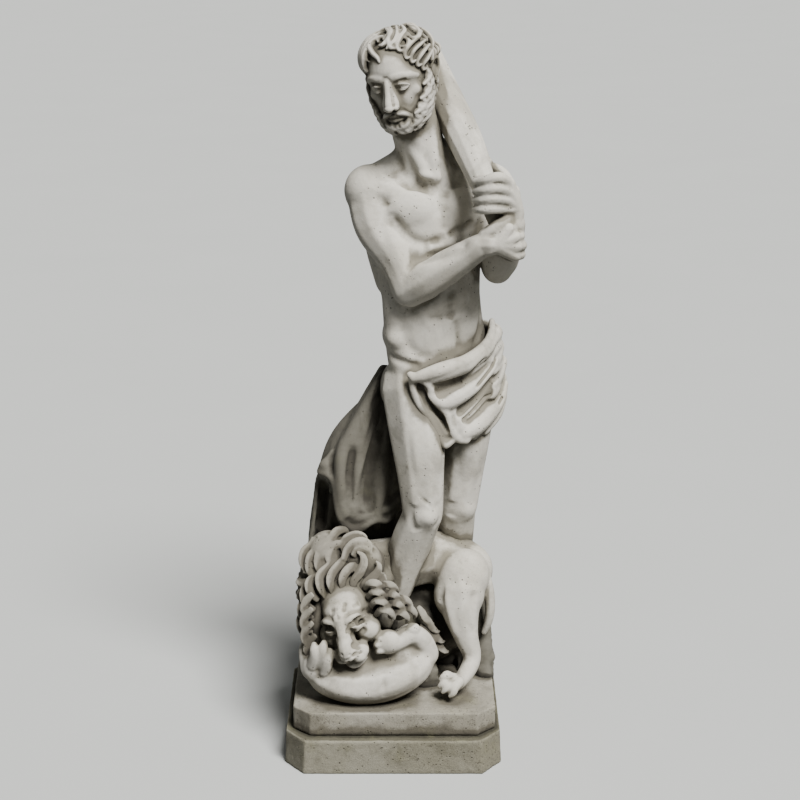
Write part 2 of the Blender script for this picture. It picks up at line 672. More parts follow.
def tuft(clay, turn, z, length, thick, bend):
    """A tuft that lies along the jaw, runs down and forward and curls at its tip."""
    knots = []
    for step in range(6):
        t = step / 5
        spot, out = on_jaw(turn * (1 - 0.16 * t) + bend * (22 * t * t - 6 * t),
                           max(-84, z - length * (t - 0.28 * t * t)))
        knots.append((*(spot + out * (0.5 + 3 * t)), girth(thick, 0.12 + 0.8 * t)))
    clay.stroke(knots, per_span=3)


def beard():
    """A short full beard in tufts along the jaw, and a moustache that turns down at its ends."""
    clay = Clay(HEAD, sides=2)
    clay.pair([(49, -7, 2, 5), (49, -8, -16, 7), (46, -15, -36, 9), (39, -28, -52, 10), (24, -44, -66, 11)])
    clay.ball((0, -51, -72), (22, 13, 9))
    # each row's height, then the degrees round the face at which its tufts begin and end, and their step
    rows = ((12, 88, 98, 12), (3, 84, 98, 12), (-7, 78, 104, 13), (-17, 71, 104, 13), (-27, 63, 108, 13),
            (-37, 54, 108, 13), (-47, 44, 108, 14), (-56, 10, 100, 16), (-65, 0, 92, 18))
    for row, (z, nearest, furthest, step) in enumerate(rows):
        for n, turn in enumerate(range(nearest, furthest + 1, step)):
            for side in (1, -1) if turn else (1,):
                tuft(clay, side * turn, z, 17, 4.6 + 0.6 * (n % 2),
                     side if n == 0 or (n + row) % 2 else -side)
    clay.pair([(1, -69, -38, 3), (8, -69, -41, 4.6), (16, -63.5, -45, 5), (22, -56, -53, 4.8),
               (25, -50, -62, 3.4)], per_span=4)
    clay.pair([(4, -70, -42, 2.4), (12, -66, -46, 3), (19, -59, -52, 3), (20, -56, -60, 2.2)], per_span=4)
    clay.stroke([(0, -63, -59, 3), (0, -66, -65, 4), (0, -64, -73, 4)])
    return clay.mesh("beard")


def cloth_masses():
    """The thickness under the pleats of the hip cloth, and its plain wrap round hip and back."""
    clay = Clay()
    clay.stroke(
        [(174, 44, 662, 12), (160, 20, 637, 17), (121, -14, 617, 20), (80, -32, 608, 18),
         (53, -40, 601, 12)],
        [(180, 50, 638, 14), (164, 26, 614, 20), (125, -4, 590, 24), (94, -22, 581, 20),
         (76, -34, 582, 12)],
        [(186, 56, 609, 14), (169, 32, 583, 20), (136, 4, 561, 24), (108, -16, 554, 20),
         (92, -30, 560, 12)],
        [(186, 60, 579, 14), (174, 38, 553, 20), (147, 12, 533, 24), (125, -8, 527, 20),
         (108, -24, 533, 12)],
        [(187, 60, 554, 12), (174, 44, 531, 18), (154, 20, 513, 20), (134, -4, 506, 18),
         (120, -20, 512, 12)],
        [(169, 46, 525, 12), (158, 26, 509, 14), (138, -2, 496, 12)],
    )
    for k in range(6):
        z = 575 + 18 * k
        clay.stroke([(168, 6 + 3 * k, z - 8, 13), (176, 52, z, 14), (150, 98, z - 4, 15),
                     (100, 110, z - 14, 15), (44, 90, z - 26, 15), (4, 62, z - 44, 13)])
    return clay.mesh("cloth")


def cloth_folds():
    """The rolled hem, the pleats, the wavy free edge and the layer under it."""
    clay = Clay(sides=3)
    clay.stroke(
        [(170, 46, 685, 6), (168, 22, 668, 8), (155, -6, 652, 10), (123, -36, 635, 12), (83, -54, 626, 13),
         (52, -60, 617, 11), (35, -60, 612, 8)],
        [(175, 34, 665, 8), (162, 5, 649, 12), (134, -25, 632, 15), (100, -44, 622, 15),
         (66, -53, 612, 12)],
        [(181, 38, 632, 9), (161, 8, 608, 15), (136, -14, 587, 17), (109, -36, 574, 17), (86, -47, 565, 14),
         (71, -52, 573, 8), (63, -54, 584, 5)],
        [(191, 46, 572, 10), (180, 26, 549, 15), (157, 0, 528, 19), (135, -22, 513, 18),
         (121, -34, 508, 13)],
        [(192, 50, 550, 8), (179, 30, 523, 11), (157, 6, 501, 10)],
    )
    # the cloth's whole thickness where its two broad valleys are worked in afterwards
    clay.stroke(
        [(70, -44, 580, 12), (97, -32, 589, 15), (121, -14, 600, 14), (146, 6, 614, 11), (167, 28, 629, 9)],
        [(107, -36, 532, 12), (125, -22, 545, 15), (146, -2, 561, 14), (167, 20, 580, 12),
         (185, 42, 593, 9)],
        [(121, -32, 507, 11), (142, -14, 518, 16), (164, 4, 536, 16), (182, 26, 553, 12)],
    )
    # the wavy free edge, from the hem's end down to the cloth's lowest corner
    clay.stroke([(29, -58, 617, 7), (44, -57, 610, 7), (57, -56, 602, 7), (63, -54, 590, 6.5),
                 (61, -52, 577, 6.5), (75, -51, 564, 7), (90, -49, 548, 7), (95, -46, 527, 7),
                 (102, -44, 511, 7.5), (113, -40, 499, 8), (125, -36, 496, 8)], per_span=4)
    for spot in ((63, -45, 591), (78, -41, 570), (97, -37, 548), (109, -35, 529), (111, -36, 519),
                 (123, -30, 512)):
        clay.ball(spot, (15, 12, 15))
    # the under layer and its edge
    clay.stroke([(32, -53, 610, 7), (36, -52, 587, 8), (48, -50, 559, 9), (63, -48, 533, 9),
                 (75, -46, 510, 8), (87, -45, 490, 8), (99, -43, 496, 7)], per_span=4)
    clay.stroke([(41, -40, 594, 10), (53, -38, 568, 14), (70, -36, 539, 15), (87, -34, 511, 15),
                 (96, -35, 497, 10)])
    return clay.mesh("folds")


def cloth_marks():
    """The creases of the hip cloth's plain wrap at the side and the back."""
    return [
        ([(176, 40, 640), (120, 122, 622), (40, 100, 596)], 7, 4),
        ([(180, 44, 606), (120, 124, 588), (40, 104, 566)], 7, 5),
        ([(180, 44, 670), (110, 116, 655), (10, 74, 620)], 5, 3),
    ]


def hip_cloth(voxel):
    """The cloth wrapped around the hips, fused and carved."""
    made = fused([fused([cloth_masses()], 2.4, 12), fused([cloth_folds()], 2.0, 9)], voxel, 5)
    return carve(made, Matrix(), cloth_marks())


def fall_masses():
    """The long fall of cloth behind the right leg, down to the rocks, before its folds."""
    clay = Clay()
    clay.stroke(
        [(-18, 58, 598, 8), (-46, 60, 543, 11), (-72, 58, 493, 12), (-95, 52, 456, 12),
         (-114, 42, 429, 10)],
        [(-12, 56, 591, 14), (-37, 54, 538, 20), (-63, 46, 485, 22), (-84, 34, 445, 22),
         (-91, 24, 408, 18)],
        [(-5, 54, 577, 16), (-30, 46, 507, 22), (-54, 32, 446, 24), (-72, 18, 395, 22), (-74, 10, 350, 18)],
        [(2, 56, 559, 16), (-16, 52, 483, 24), (-34, 42, 413, 26), (-48, 28, 358, 20), (-51, 16, 336, 14)],
        [(12, 60, 539, 16), (1, 58, 467, 22), (-9, 48, 403, 24), (-16, 36, 359, 18), (-20, 24, 345, 12)],
        [(-86, 6, 351, 11), (-72, 6, 338, 12), (-51, 10, 340, 12), (-27, 14, 350, 12), (-6, 20, 354, 11),
         (8, 28, 366, 10)],
    )
    for k in range(5):
        clay.stroke([(28 - 14 * k, 86 - 2 * k, 590 - 13 * k, 20), (0 - 21 * k, 88 - 3 * k, 500 - 8 * k, 26),
                     (2 - 27 * k, 86 - 3 * k, 400, 29), (10 - 34 * k, 84, 280, 28),
                     (6 - 33 * k, 84, 180 + 16 * k, 22)])
    return clay.mesh("fall")


def fall_folds():
    """The rim of the front panel, its ridges, and the thin layer behind it at the left."""
    clay = Clay(sides=3)
    clay.stroke(
        [(-16, 44, 591, 9), (-42, 38, 542, 12), (-68, 28, 491, 15), (-87, 17, 450, 15), (-92, 8, 420, 12),
         (-91, 2, 382, 11), (-84, -2, 350, 10)],
        [(-9, 48, 543, 10), (-16, 38, 473, 14), (-21, 27, 410, 15), (-27, 16, 366, 13), (-28, 10, 346, 10)],
        [(16, 54, 505, 9), (14, 50, 432, 12), (8, 42, 383, 10), (5, 34, 360, 8)],
        [(-26, 50, 524, 12), (-42, 38, 455, 18), (-51, 24, 393, 18), (-51, 14, 356, 14)],
        [(-33, 43, 533, 15), (-56, 32, 479, 19), (-68, 23, 430, 20), (-72, 13, 389, 17), (-68, 8, 358, 13)],
        [(-16, 53, 523, 15), (-28, 41, 461, 18), (-35, 29, 402, 18), (-39, 19, 361, 14)],
        [(3, 56, 522, 14), (-2, 48, 452, 17), (-6, 38, 392, 16), (-9, 28, 358, 12)],
    )
    clay.ball((-116, 30, 428), (15, 13, 14))
    clay.ball((-109, 24, 415), (13, 12, 15))
    # the front panel's rim
    clay.stroke([(-104, 40, 450, 8), (-123, 34, 427, 7), (-130, 28, 417, 5.5), (-119, 20, 416, 6),
                 (-108, 12, 412, 7), (-101, 6, 397, 7.5), (-98, 2, 371, 7.5), (-93, -2, 348, 8),
                 (-84, -3, 330, 8.5), (-74, -2, 322, 9), (-58, 1, 323, 9), (-41, 4, 333, 8),
                 (-25, 8, 337, 8), (-11, 12, 334, 7.5), (1, 18, 347, 7), (14, 24, 356, 6)], per_span=4)
    clay.stroke(
        [(-106, 60, 426, 8), (-128, 58, 404, 7), (-135, 56, 375, 6.5), (-139, 54, 329, 6.5),
         (-147, 52, 273, 7)],
        [(-121, 30, 420, 9), (-120, 44, 410, 11), (-121, 58, 400, 11)],
        [(-96, 30, 435, 14), (-104, 36, 411, 14), (-110, 44, 383, 13)],
        [(-94, 66, 412, 14), (-111, 68, 371, 14), (-118, 66, 315, 14), (-122, 60, 260, 14)],
    )
    return clay.mesh("fall folds")


def fall_marks():
    """The valleys between the folds at the back of the fall."""
    marks = []
    for k in range(4):
        marks.append(([(14 - 17 * k, 108 - 3 * k, 570 - 13 * k), (-12 - 24 * k, 116 - 3 * k, 480),
                       (-12 - 30 * k, 116 - 2 * k, 380), (-4 - 34 * k, 112, 250), (-8 - 33 * k, 108, 190)],
                      9, 11))
    return marks


def fall(voxel):
    """The long fall of cloth behind the man, fused and carved."""
    made = fused([fused([fall_masses()], 3.0, 12), fused([fall_folds()], 2.4, 16)], voxel, 5)
    return carve(made, Matrix(), fall_marks())


def moved(spot, right, down, back):
    """The spot moved as the front view shows it: going back doesn't raise or lower it in that view."""
    x, y, z = spot
    return x + STEP_RIGHT * right, y + back, z - STEP_DOWN * down - SINK_GOING_BACK * back


def lion_masses():
    """The lion's trunk, haunches and crossed forelegs, before they are softened."""
    clay = Clay()
    clay.stroke([(128, 44, 238, 46), (96, 42, 252, 50), (50, 28, 258, 50), (0, 14, 250, 52),
                 (-50, 6, 240, 56), (-90, -6, 225, 54)])
    clay.ball((126, 32, 234), (52, 50, 50))
    clay.ball((121, -2, 231), (48, 46, 54), (0, 24, 0), detail=4)
    clay.ball((116, -16, 206), (45, 42, 48), (0, 10, 0), detail=4)
    clay.stroke(
        [(117, -18, 214, 44), (119, -34, 179, 34), (128, -44, 138, 23), (139, -48, 102, 17),
         (131, -64, 83, 16), (115, -84, 69, 14), (101, -96, 65, 13)],
        [(120, 78, 240, 40), (136, 92, 180, 28), (150, 100, 120, 20), (130, 84, 66, 18), (100, 70, 52, 16)],
        [(-137, -94, 107, 22), (-113, -104, 85, 31), (-61, -110, 75, 36), (-5, -106, 84, 37),
         (36, -92, 104, 34), (57, -78, 123, 22)],
        [(-93, -70, 104, 40), (-5, -70, 114, 44), (29, -60, 138, 30)],
        [(59, -80, 120, 22), (50, -88, 148, 20), (33, -96, 164, 18), (12, -106, 157, 17),
         (-5, -114, 151, 16)],
    )
    clay.ball((12, -94, 130), (26, 20, 20), detail=4)
    clay.stroke([(-148, -88, 131, 18), (-140, -108, 106, 22)])
    return clay.mesh("lion")


def lion_details():
    """The toes of the paws, the hind foot and the tail."""
    clay = Clay(sides=3)
    # the hind foot's four toes, each with a knuckle and a claw
    for n, spot in enumerate(((83, -98, 85), (81, -102, 73), (87, -106, 64), (99, -110, 58))):
        clay.stroke([(*moved(spot, 15 - 2 * n, 2 - 5 * n, 14), 10),
                     (*moved(spot, 7 - n, -1 - 2 * n, 0), 9.5), (*moved(spot, 3, -0.5 * n, -5), 7),
                     (*moved(spot, 0, 2, -5), 4.5)], per_span=4)
    # the right paw, curled under the chin
    clay.ball((-9, -113, 157), (25, 18, 22))
    for spot, r in (((-26, -123, 168), 7), ((-29, -126, 158), 7.5), ((-26, -126, 147), 7)):
        clay.stroke([(*moved(spot, 8, -1, 8), r), (*moved(spot, 2, 0, 2), r),
                     (*moved(spot, 0, 1, 3), 0.8 * r)], per_span=4)
    clay.ball((34, -100, 175), (13, 12, 11))
    # the left paw at the viewer's left
    clay.ball((-138, -114, 110), (19, 16, 26))
    clay.ball((-125, -124, 134), (16, 11, 20))
    for spot, lean in (((-133, -130, 153), -1), ((-121, -130, 157), 2), ((-113, -130, 142), 3)):
        clay.stroke([(*moved(spot, -3, 18, 8), 12), (*moved(spot, 0, 9, -1), 10.5),
                     (*moved(spot, 0.5 * lean, 2, -2), 9), (*moved(spot, lean, -3, 3), 6)], per_span=4)
    # the tail, close against the haunch
    clay.stroke([(157, 22, 255, 10), (162, 4, 232, 10.5), (169, -4, 205, 10), (171, -8, 176, 9.5),
                 (168, -8, 150, 8), (161, -6, 130, 5.5)])
    return clay.mesh("lion details")


def lion_marks():
    """Hollows and swellings of the haunch, the hind leg and the forelegs."""
    return [
        ([(89, -50, 227), (92, -62, 185), (108, -60, 138)], 8, -3),
        ([(141, -50, 227), (141, -58, 189), (145, -56, 143)], 8, 4),
        ([(76, -40, 260), (83, -48, 230), (82, -44, 199)], 7, 4),
        ([(131, -62, 110), (122, -80, 93)], 6, -2),
        ([(112, -70, 97), (97, -96, 86)], 5, 3),
        ([(-17, -140, 128), (-15, -142, 95), (-17, -136, 66)], 5, 3),
        ([(-130, -118, 69), (-71, -128, 49), (2, -128, 61), (54, -110, 84)], 5, 2),
        ([(-108, -136, 126), (-70, -140, 120), (-26, -138, 130), (12, -124, 139)], 5, 4),
    ]


def lion_head_masses():
    """The skull, muzzle and cheeks of the lion before they are softened."""
    clay = Clay(MUZZLE)
    clay.ball((0, 34, 12), (48, 50, 44), detail=4)
    clay.ball((0, 2, 17), (38, 27, 23), detail=4)
    clay.stroke([(0, -10, 20, 20), (0, -30, -4, 18), (0, -44, -26, 18)])
    clay.pair_ball((16, -40, -42), (17, 18, 15), detail=4)
    clay.ball((0, -34, -60), (22, 18, 11), detail=4)
    clay.pair_ball((33, -8, -22), (22, 24, 24), detail=4)
    return clay.mesh("lion head")


def lion_head_features():
    """The brow, nose, eyes and lips of the lion."""
    clay = Clay(MUZZLE, sides=3)
    clay.pair([(7, -30, 10, 6), (15, -29, 14, 8), (28, -22, 14, 8), (38, -10, 6, 6)])
    clay.stroke(
        [(0, -22, 22, 13), (0, -32, 6, 12), (0, -45, -11, 12.5), (0, -56, -26, 13), (0, -59, -33, 11)],
        [(-13, -51, -31, 6.5), (0, -61, -30, 9.5), (13, -51, -31, 6.5)],
    )
    clay.ball((0, -60, -37), (14, 9, 9))
    clay.pair_ball((10, -53, -36), (6, 7, 6))
    clay.pair_ball((15, -49, -48), (13, 12, 10), detail=4)
    clay.pair_ball((23, -28, 0), (11, 9, 8), detail=4)
    clay.pair(
        [(13, -32, 1, 2), (21, -37, 4, 2.6), (31, -31, 3, 2.4), (37, -23, -1, 1.8)],
        [(13, -33, -3, 2), (22, -36, -6, 2.2), (32, -30, -5, 2), (37, -23, -2, 1.6)],
    )
    clay.stroke([(-18, -38, -61, 5), (-8, -46, -64, 6.5), (0, -48, -65, 7), (8, -46, -64, 6.5),
                 (18, -38, -61, 5)])
    return clay.mesh("lion features")


def lion_face_marks():
    """The hollows pressed into the lion's face."""
    return both([
        ([(9, -40, 6), (12, -36, -2)], 4.5, 4),
        ([(14, -38, 11), (28, -30, 11), (38, -18, 5)], 3.4, 3),
        ([(13, -40, -9), (26, -38, -12), (38, -24, -10)], 5, 3.5),
        ([(12, -50, -16), (20, -50, -30), (28, -42, -44)], 5, 3.5),
        ([(4, -63, -40), (10, -58, -40)], 2.6, 3),
        ([(2, -60, -55), (14, -54, -57), (27, -40, -54)], 2.6, 4),
        ([(7, -30, 30), (12, -22, 40)], 5, 2.5),
        ([(22, -24, 33), (30, -12, 38)], 5, -2),
        ([(12, -61, -45), (13, -61, -46)], 1.6, 1.2),
        ([(17, -59, -48), (18, -58, -49)], 1.6, 1.2),
    ]) + [
        ([(0, -66, -40), (0, -62, -54)], 2.4, 2.5),
        ([(0, -34, 22), (0, -28, 36)], 4, 3.5),
        ([(-12, -50, -4), (0, -50, -6), (12, -50, -4)], 5, 1.5),
    ]


def strand(clay, knots, thick):
    """One lock of the mane: four strands side by side, thick at the root and fine at the tip."""
    path = smooth_path([(*k, 0) for k in knots], 3)[:, :3]
    along = np.gradient(path, axis=0)
    side = np.cross(along, (0.1, -0.8, 0.6))
    side /= np.linalg.norm(side, axis=1)[:, None] + 1e-9
    t = np.linspace(0, 1, len(path))
    wide = thick * (0.75 + 0.45 * np.sin(2.9 * t)) * (1 - 0.62 * t ** 3)
    for shift, share in ((-1.05, 0.42), (-0.38, 0.6), (0.36, 0.57), (1.05, 0.4)):
        rows = np.c_[path + side * (shift * wide)[:, None], share * wide]
        clay.stroke(rows, per_span=1)


def waved(root, out, along, length, thick, wave, turn):
    """The knots of a lock that swings from side to side over the mass below it, and hooks at its tip."""
    out = out.normalized()
    along = (along - out * along.dot(out)).normalized()
    side = out.cross(along)
    knots = []
    for step in range(7):
        t = step / 6
        swing = wave * math.sin(turn + 4.6 * t) * (0.35 + 0.65 * t)
        hook = 0.5 * length * max(0, t - 0.72) * (1 if math.cos(turn + 4.6) > 0 else -1)
        lift = thick * (0.2 + 0.9 * math.sin(2.9 * t))
        knots.append(root + along * length * (t - 0.2 * t * t * t) + side * (swing + hook) + out * lift)
    return knots


def mane_masses():
    """The broad bed of the mane under its locks."""
    clay = Clay()
    clay.ball((-98, -40, 231), (54, 42, 58), detail=4)
    clay.ball((-114, -10, 275), (40, 44, 46))
    clay.ball((-54, -34, 269), (40, 36, 40))
    clay.ball((-127, -64, 173), (27, 30, 50))
    clay.stroke([(-40, -58, 253, 16), (-16, -72, 232, 17), (9, -76, 197, 16)])
    return clay.mesh("mane mass")


def mane(rows=5):
    """The plainer locks over the sides and back of the mane, in overlapping rows."""
    clay = Clay(sides=1)
    lean = Euler((math.radians(-32), 0, math.radians(-8))).to_matrix()
    turn = 0.0
    for row in range(rows):
        count = 14 + 2 * row
        away = 0.95 + 0.26 * row
        for n in range(count):
            around = math.radians(-125 + 250 * (n + 0.5 * (row % 2)) / count)
            turn += 2.4
            across, up = math.sin(around), math.cos(around)
            out = lean @ Vector((across * math.sin(away), -math.cos(away), up * math.sin(away)))
            back = lean @ Vector((across * math.cos(away), math.sin(away), up * math.cos(away)))
            root = Vector(MANE_MIDDLE) + Vector((out.x * 55, out.y * 43, out.z * 59))
            strand(clay, waved(root, out, back, 40 + 5 * math.sin(3 * turn), 5.6, 5.5, turn), 5.6)
    return clay.mesh("mane")


def front_locks():
    """The locks that the front shows, from the brow up over the crown, each from root to tip."""
    clay = Clay(sides=2)
    locks = [
        ((-113, -92, 229), (-124, -88, 246), (-126, -76, 263), (-114, -66, 274), (-104, -56, 281),
         (-97, -50, 290)),
        ((-101, -98, 239), (-108, -90, 258), (-103, -78, 271), (-90, -66, 283), (-83, -56, 292),
         (-87, -50, 303)),
        ((-84, -100, 243), (-87, -92, 262), (-79, -82, 275), (-67, -74, 281), (-62, -78, 270),
         (-67, -84, 261)),
        ((-68, -100, 243), (-67, -92, 260), (-57, -82, 271), (-50, -72, 286), (-53, -66, 298),
         (-62, -64, 303)),
        ((-55, -98, 239), (-50, -92, 253), (-38, -84, 261), (-28, -74, 268), (-24, -68, 279),
         (-29, -66, 287)),
        ((-129, -88, 224), (-141, -82, 234), (-145, -72, 247), (-137, -66, 256), (-126, -70, 254),
         (-124, -78, 244)),
        ((-136, -90, 206), (-150, -82, 214), (-154, -70, 228), (-151, -60, 239), (-142, -56, 248)),
        ((-138, -62, 254), (-146, -50, 268), (-143, -40, 285), (-132, -32, 296), (-126, -24, 308),
         (-131, -20, 318)),
        ((-123, -66, 263), (-130, -54, 275), (-128, -44, 290), (-116, -36, 300), (-111, -30, 310),
         (-115, -26, 318)),
        ((-107, -62, 276), (-111, -50, 290), (-104, -40, 303), (-92, -38, 308), (-85, -44, 301),
         (-90, -50, 292)),
        ((-85, -64, 288), (-79, -54, 303), (-67, -48, 313), (-52, -46, 316), (-40, -48, 310),
         (-38, -54, 299)),
        ((-69, -62, 295), (-60, -56, 305), (-48, -54, 305), (-40, -56, 292), (-43, -62, 282)),
        ((-92, -40, 301), (-82, -30, 314), (-66, -24, 319), (-52, -24, 317), (-45, -28, 311)),
        ((-149, -48, 260), (-157, -36, 274), (-154, -26, 290), (-143, -20, 301), (-140, -16, 313)),
        ((-103, -34, 304), (-105, -24, 316), (-96, -16, 324), (-84, -14, 325), (-77, -16, 318)),
        ((-46, -92, 255), (-36, -92, 248), (-24, -86, 249), (-16, -78, 259), (-17, -74, 268)),
        ((-141, -94, 186), (-155, -86, 193), (-159, -76, 208), (-156, -68, 220)),
        ((-143, -98, 165), (-156, -90, 169), (-161, -80, 184), (-159, -74, 196)),
    ]
    for knots in locks:
        strand(clay, knots, 5.2)
    return clay.mesh("front locks")


def ringlets():
    """The curls at the viewer's right of the face, down to the dark hollow, and the tufts in it."""
    clay = Clay(sides=2)
    for spot in ((-46, -100, 254), (-41, -106, 240), (-36, -112, 226), (-27, -114, 211), (-22, -92, 248),
                 (-17, -98, 233), (-10, -102, 218), (-3, -102, 202), (2, -90, 221), (10, -88, 204)):
        strand(clay, (moved(spot, -2, 3, 0), moved(spot, 4, -3, -8), moved(spot, 12, -2, -9),
                      moved(spot, 17, 4, -4), moved(spot, 15, 9, 0)), 4.4)
    for spot in ((51, -36, 180), (61, -38, 166), (70, -38, 147), (56, -42, 149), (77, -36, 127)):
        strand(clay, (moved(spot, -4, -6, 8), spot, moved(spot, 4, 8, -4), moved(spot, 9, 12, -4),
                      moved(spot, 13, 12, 2)), 4.2)
    for spot in ((-148, -96, 220), (-149, -102, 196), (-148, -106, 172), (-143, -108, 149)):
        strand(clay, (moved(spot, 6, -10, -2), moved(spot, 0, -4, 0), moved(spot, -3, 6, 0),
                      moved(spot, 2, 13, 0), moved(spot, 7, 14, -4)), 4.8)
    return clay.mesh("ringlets")


def lion(voxel):
    """The whole lion without its mane, fused and carved."""
    trunk = fused([lion_masses()], 2.8, 18)
    face = fused([lion_head_masses()], 2.2, 8)
    made = fused([trunk, face, lion_head_features(), lion_details()], voxel, 3)
    carve(made, Matrix(), lion_marks())
    return carve(made, MUZZLE, lion_face_marks())


def mane_and_curls(voxel):
    """The mane with its locks and the small curls by the cheeks."""
    return fused([fused([mane_masses()], 2.6, 6), mane(), front_locks(), ringlets()], voxel, 2)


def rocks():
    """Rough rock under the lion and behind it, and the mound under the man's left foot.

    Each boulder's turn comes from its place, so that no two lie alike.
    """
    clay = Clay()
    for x, y, z, r in ((138, 60, 78, 34), (110, 96, 70, 40), (50, 104, 78, 44), (-10, 98, 86, 48),
                       (-70, 88, 96, 50), (-112, 56, 100, 46), (-122, 14, 92, 42), (96, 60, 110, 44),
                       (40, 60, 96, 50), (-60, 0, 92, 60), (20, 0, 76, 50), (60, -26, 52, 28),
                       (60, 60, 176, 48), (100, 54, 160, 46), (134, 52, 150, 38), (10, 58, 176, 54),
                       (-50, 52, 176, 50), (30, 20, 130, 54), (80, 30, 110, 50), (76, 92, 130, 46),
                       (20, 92, 140, 50), (-36, 84, 150, 50), (112, 84, 112, 36), (22, 124, 50, 34),
                       (-64, 118, 50, 38), (96, 118, 46, 30), (136, 30, 50, 24)):
        clay.boulder((x, y, z), (r, 0.9 * r, 0.85 * r), (23 * x, 31 * y, 17 * z))
    clay.stroke(
        [(137, 34, 163, 24), (154, 28, 119, 22), (161, 20, 80, 20), (161, 14, 40, 22)],
        [(112, 96, 130, 26), (90, 80, 60, 40)],
    )
    return rough(fused([clay.mesh("rocks")], 4.0, 5), 26, 14)


def tier(low, high, box, cut, skirt=0.0):
    """A block with cut corners. box is its left, right, front and back; skirt widens its foot."""
    left, right, front, back = box
    middle = Vector(((left + right) / 2, (front + back) / 2, (low + high) / 2))
    size = Vector(((right - left) / cut[0], (back - front) / cut[1], high - low))
    bm = bmesh.new()
    bmesh.ops.create_cube(bm, size=1, matrix=Matrix.LocRotScale(None, None, size))
    upright = [e for e in bm.edges if e.verts[0].co.z * e.verts[1].co.z < 0]
    bmesh.ops.bevel(bm, geom=upright, offset=1, segments=1, affect="EDGES")
    # the corners are cut by one where the block is drawn small, which the stretch makes cut[0] by cut[1]
    bmesh.ops.scale(bm, verts=bm.verts, vec=(cut[0], cut[1], 1))
    for x, y in ((1, 1), (1, -1), (-1, 1), (-1, -1)):
        foot = [v for v in bm.verts if v.co.z < 0 and v.co.x * x > 0 and v.co.y * y > 0]
        bmesh.ops.translate(bm, verts=foot, vec=(skirt * x, skirt * y, 0))
    bmesh.ops.translate(bm, verts=bm.verts, vec=middle)
    return mesh_from(bm, "tier")


def relief(mesh, marks):
    """Works marks into the surface seen from the front. Their knots are places in the plane y = 0."""
    bm = bmesh.new()
    bm.from_mesh(mesh)
    tree = BVHTree.FromBMesh(bm)
    bm.free()
    laid = []
    for knots, width, depth in marks:
        met = [tree.ray_cast(EYE, Vector((x, 0, z)) - EYE)[0] for x, z in knots]
        met = [tuple(spot) for spot in met if spot]
        if met:
            laid.append((met, width, depth))
    return carve(mesh, Matrix(), laid)


def trunk_relief():
    """Chest, ribs, belly and groin: the hollows between the muscles, and their rises."""
    return [
        ([(52, 883)], 26, -5),
        ([(110, 890)], 20, -5),
        ([(-5, 883), (9, 863), (25, 842), (46, 831), (69, 832), (89, 842)], 9, 6),
        ([(90, 920), (89, 897), (87, 873), (87, 849)], 10, 4.5),
        ([(89, 842), (106, 851), (122, 858), (134, 871)], 8, 5),
        ([(32, 812), (59, 803), (86, 807), (111, 820), (124, 837)], 11, 6),
        ([(56, 822), (79, 825), (108, 837)], 9, -6),
        ([(120, 736)], 11, -4.5),
        ([(78, 727)], 13, -4),
        ([(98, 760), (97, 736), (97, 715), (100, 698)], 8, 3.8),
        ([(53, 701), (73, 700), (97, 705), (117, 713), (141, 727)], 8, 4),
        ([(73, 748), (103, 746), (134, 757)], 7, 2.5),
        ([(100, 701)], 3.4, 4),
        ([(105, 701), (109, 684), (112, 665), (114, 643)], 7.5, 3.6),
        ([(70, 675)], 22, -5),
        ([(131, 679)], 14, -4.5),
        ([(147, 729), (149, 701), (145, 672), (135, 645)], 8, 4),
        ([(158, 694)], 9, -4),
        ([(24, 722), (15, 694), (21, 663), (39, 640), (73, 631)], 10, 4),
        ([(-8, 640), (7, 628), (26, 621), (50, 617)], 7, 4.5),
        ([(-3, 663)], 13, -4),
        ([(12, 930), (42, 922), (75, 920)], 9, 3),
    ]


def cloth_relief():
    """The deep valleys between the broad ridges of the hip cloth, and the shade under its free edge."""
    return [
        ([(72, 569), (84, 574), (98, 582), (118, 594)], 8, 9),
        ([(74, 569), (98, 580), (122, 596), (144, 614), (162, 633)], 6, 8),
        ([(141, 576), (157, 598), (171, 619), (177, 636)], 3, 5),
        ([(110, 526), (127, 544), (146, 566), (166, 587), (183, 603)], 8, 9),
        ([(119, 515), (136, 535), (155, 557), (173, 576)], 6, 9),
        ([(182, 548), (189, 564)], 3, 4),
        ([(41, 582), (55, 564), (70, 542), (86, 521), (95, 496)], 3.8, 8),
    ]


def fall_relief():
    """The broad hollows of the long fall, and the gap behind the rim at its left."""
    return [
        ([(-15, 585), (-26, 521), (-36, 458), (-44, 394), (-46, 348)], 13, 11),
        ([(-69, 476), (-73, 421), (-70, 361)], 8, 6),
        ([(-83, 503), (-90, 439), (-87, 375)], 9, -3),
        ([(-115, 408), (-119, 383), (-122, 353), (-130, 320)], 8, 14),
    ]


def lion_relief():
    """The lion's eye sockets and lids, the frown, the sides of the nose and the mouth."""
    return [
        ([(-127, 141), (-116, 135), (-105, 133)], 7, 7),
        ([(-70, 144), (-57, 156), (-43, 167)], 6.5, 7),
        ([(-66, 141), (-55, 148), (-41, 158)], 2.4, 3),
        ([(-73, 135), (-70, 116), (-66, 100)], 4, 4),
        ([(-100, 127), (-104, 108), (-102, 93)], 5, 4),
        ([(-85, 71), (-70, 83), (-52, 91)], 3, 4),
        ([(-77, 83)], 2.2, 3),
        ([(-92, 83)], 2.2, 3),
        ([(-85, 185), (-87, 173), (-87, 164)], 3.5, 3.5),
        ([(-112, 165), (-98, 171)], 4, 2.5),
        ([(-73, 175), (-59, 183)], 4, 2.5),
    ]


def slimmed(mesh, most):
    """The mesh, thinned where it is flattest when it holds too many triangles."""
    mesh.calc_loop_triangles()
    count = len(mesh.loop_triangles)
    return mesh if count <= most else treated(mesh, "DECIMATE", ratio=most / count)


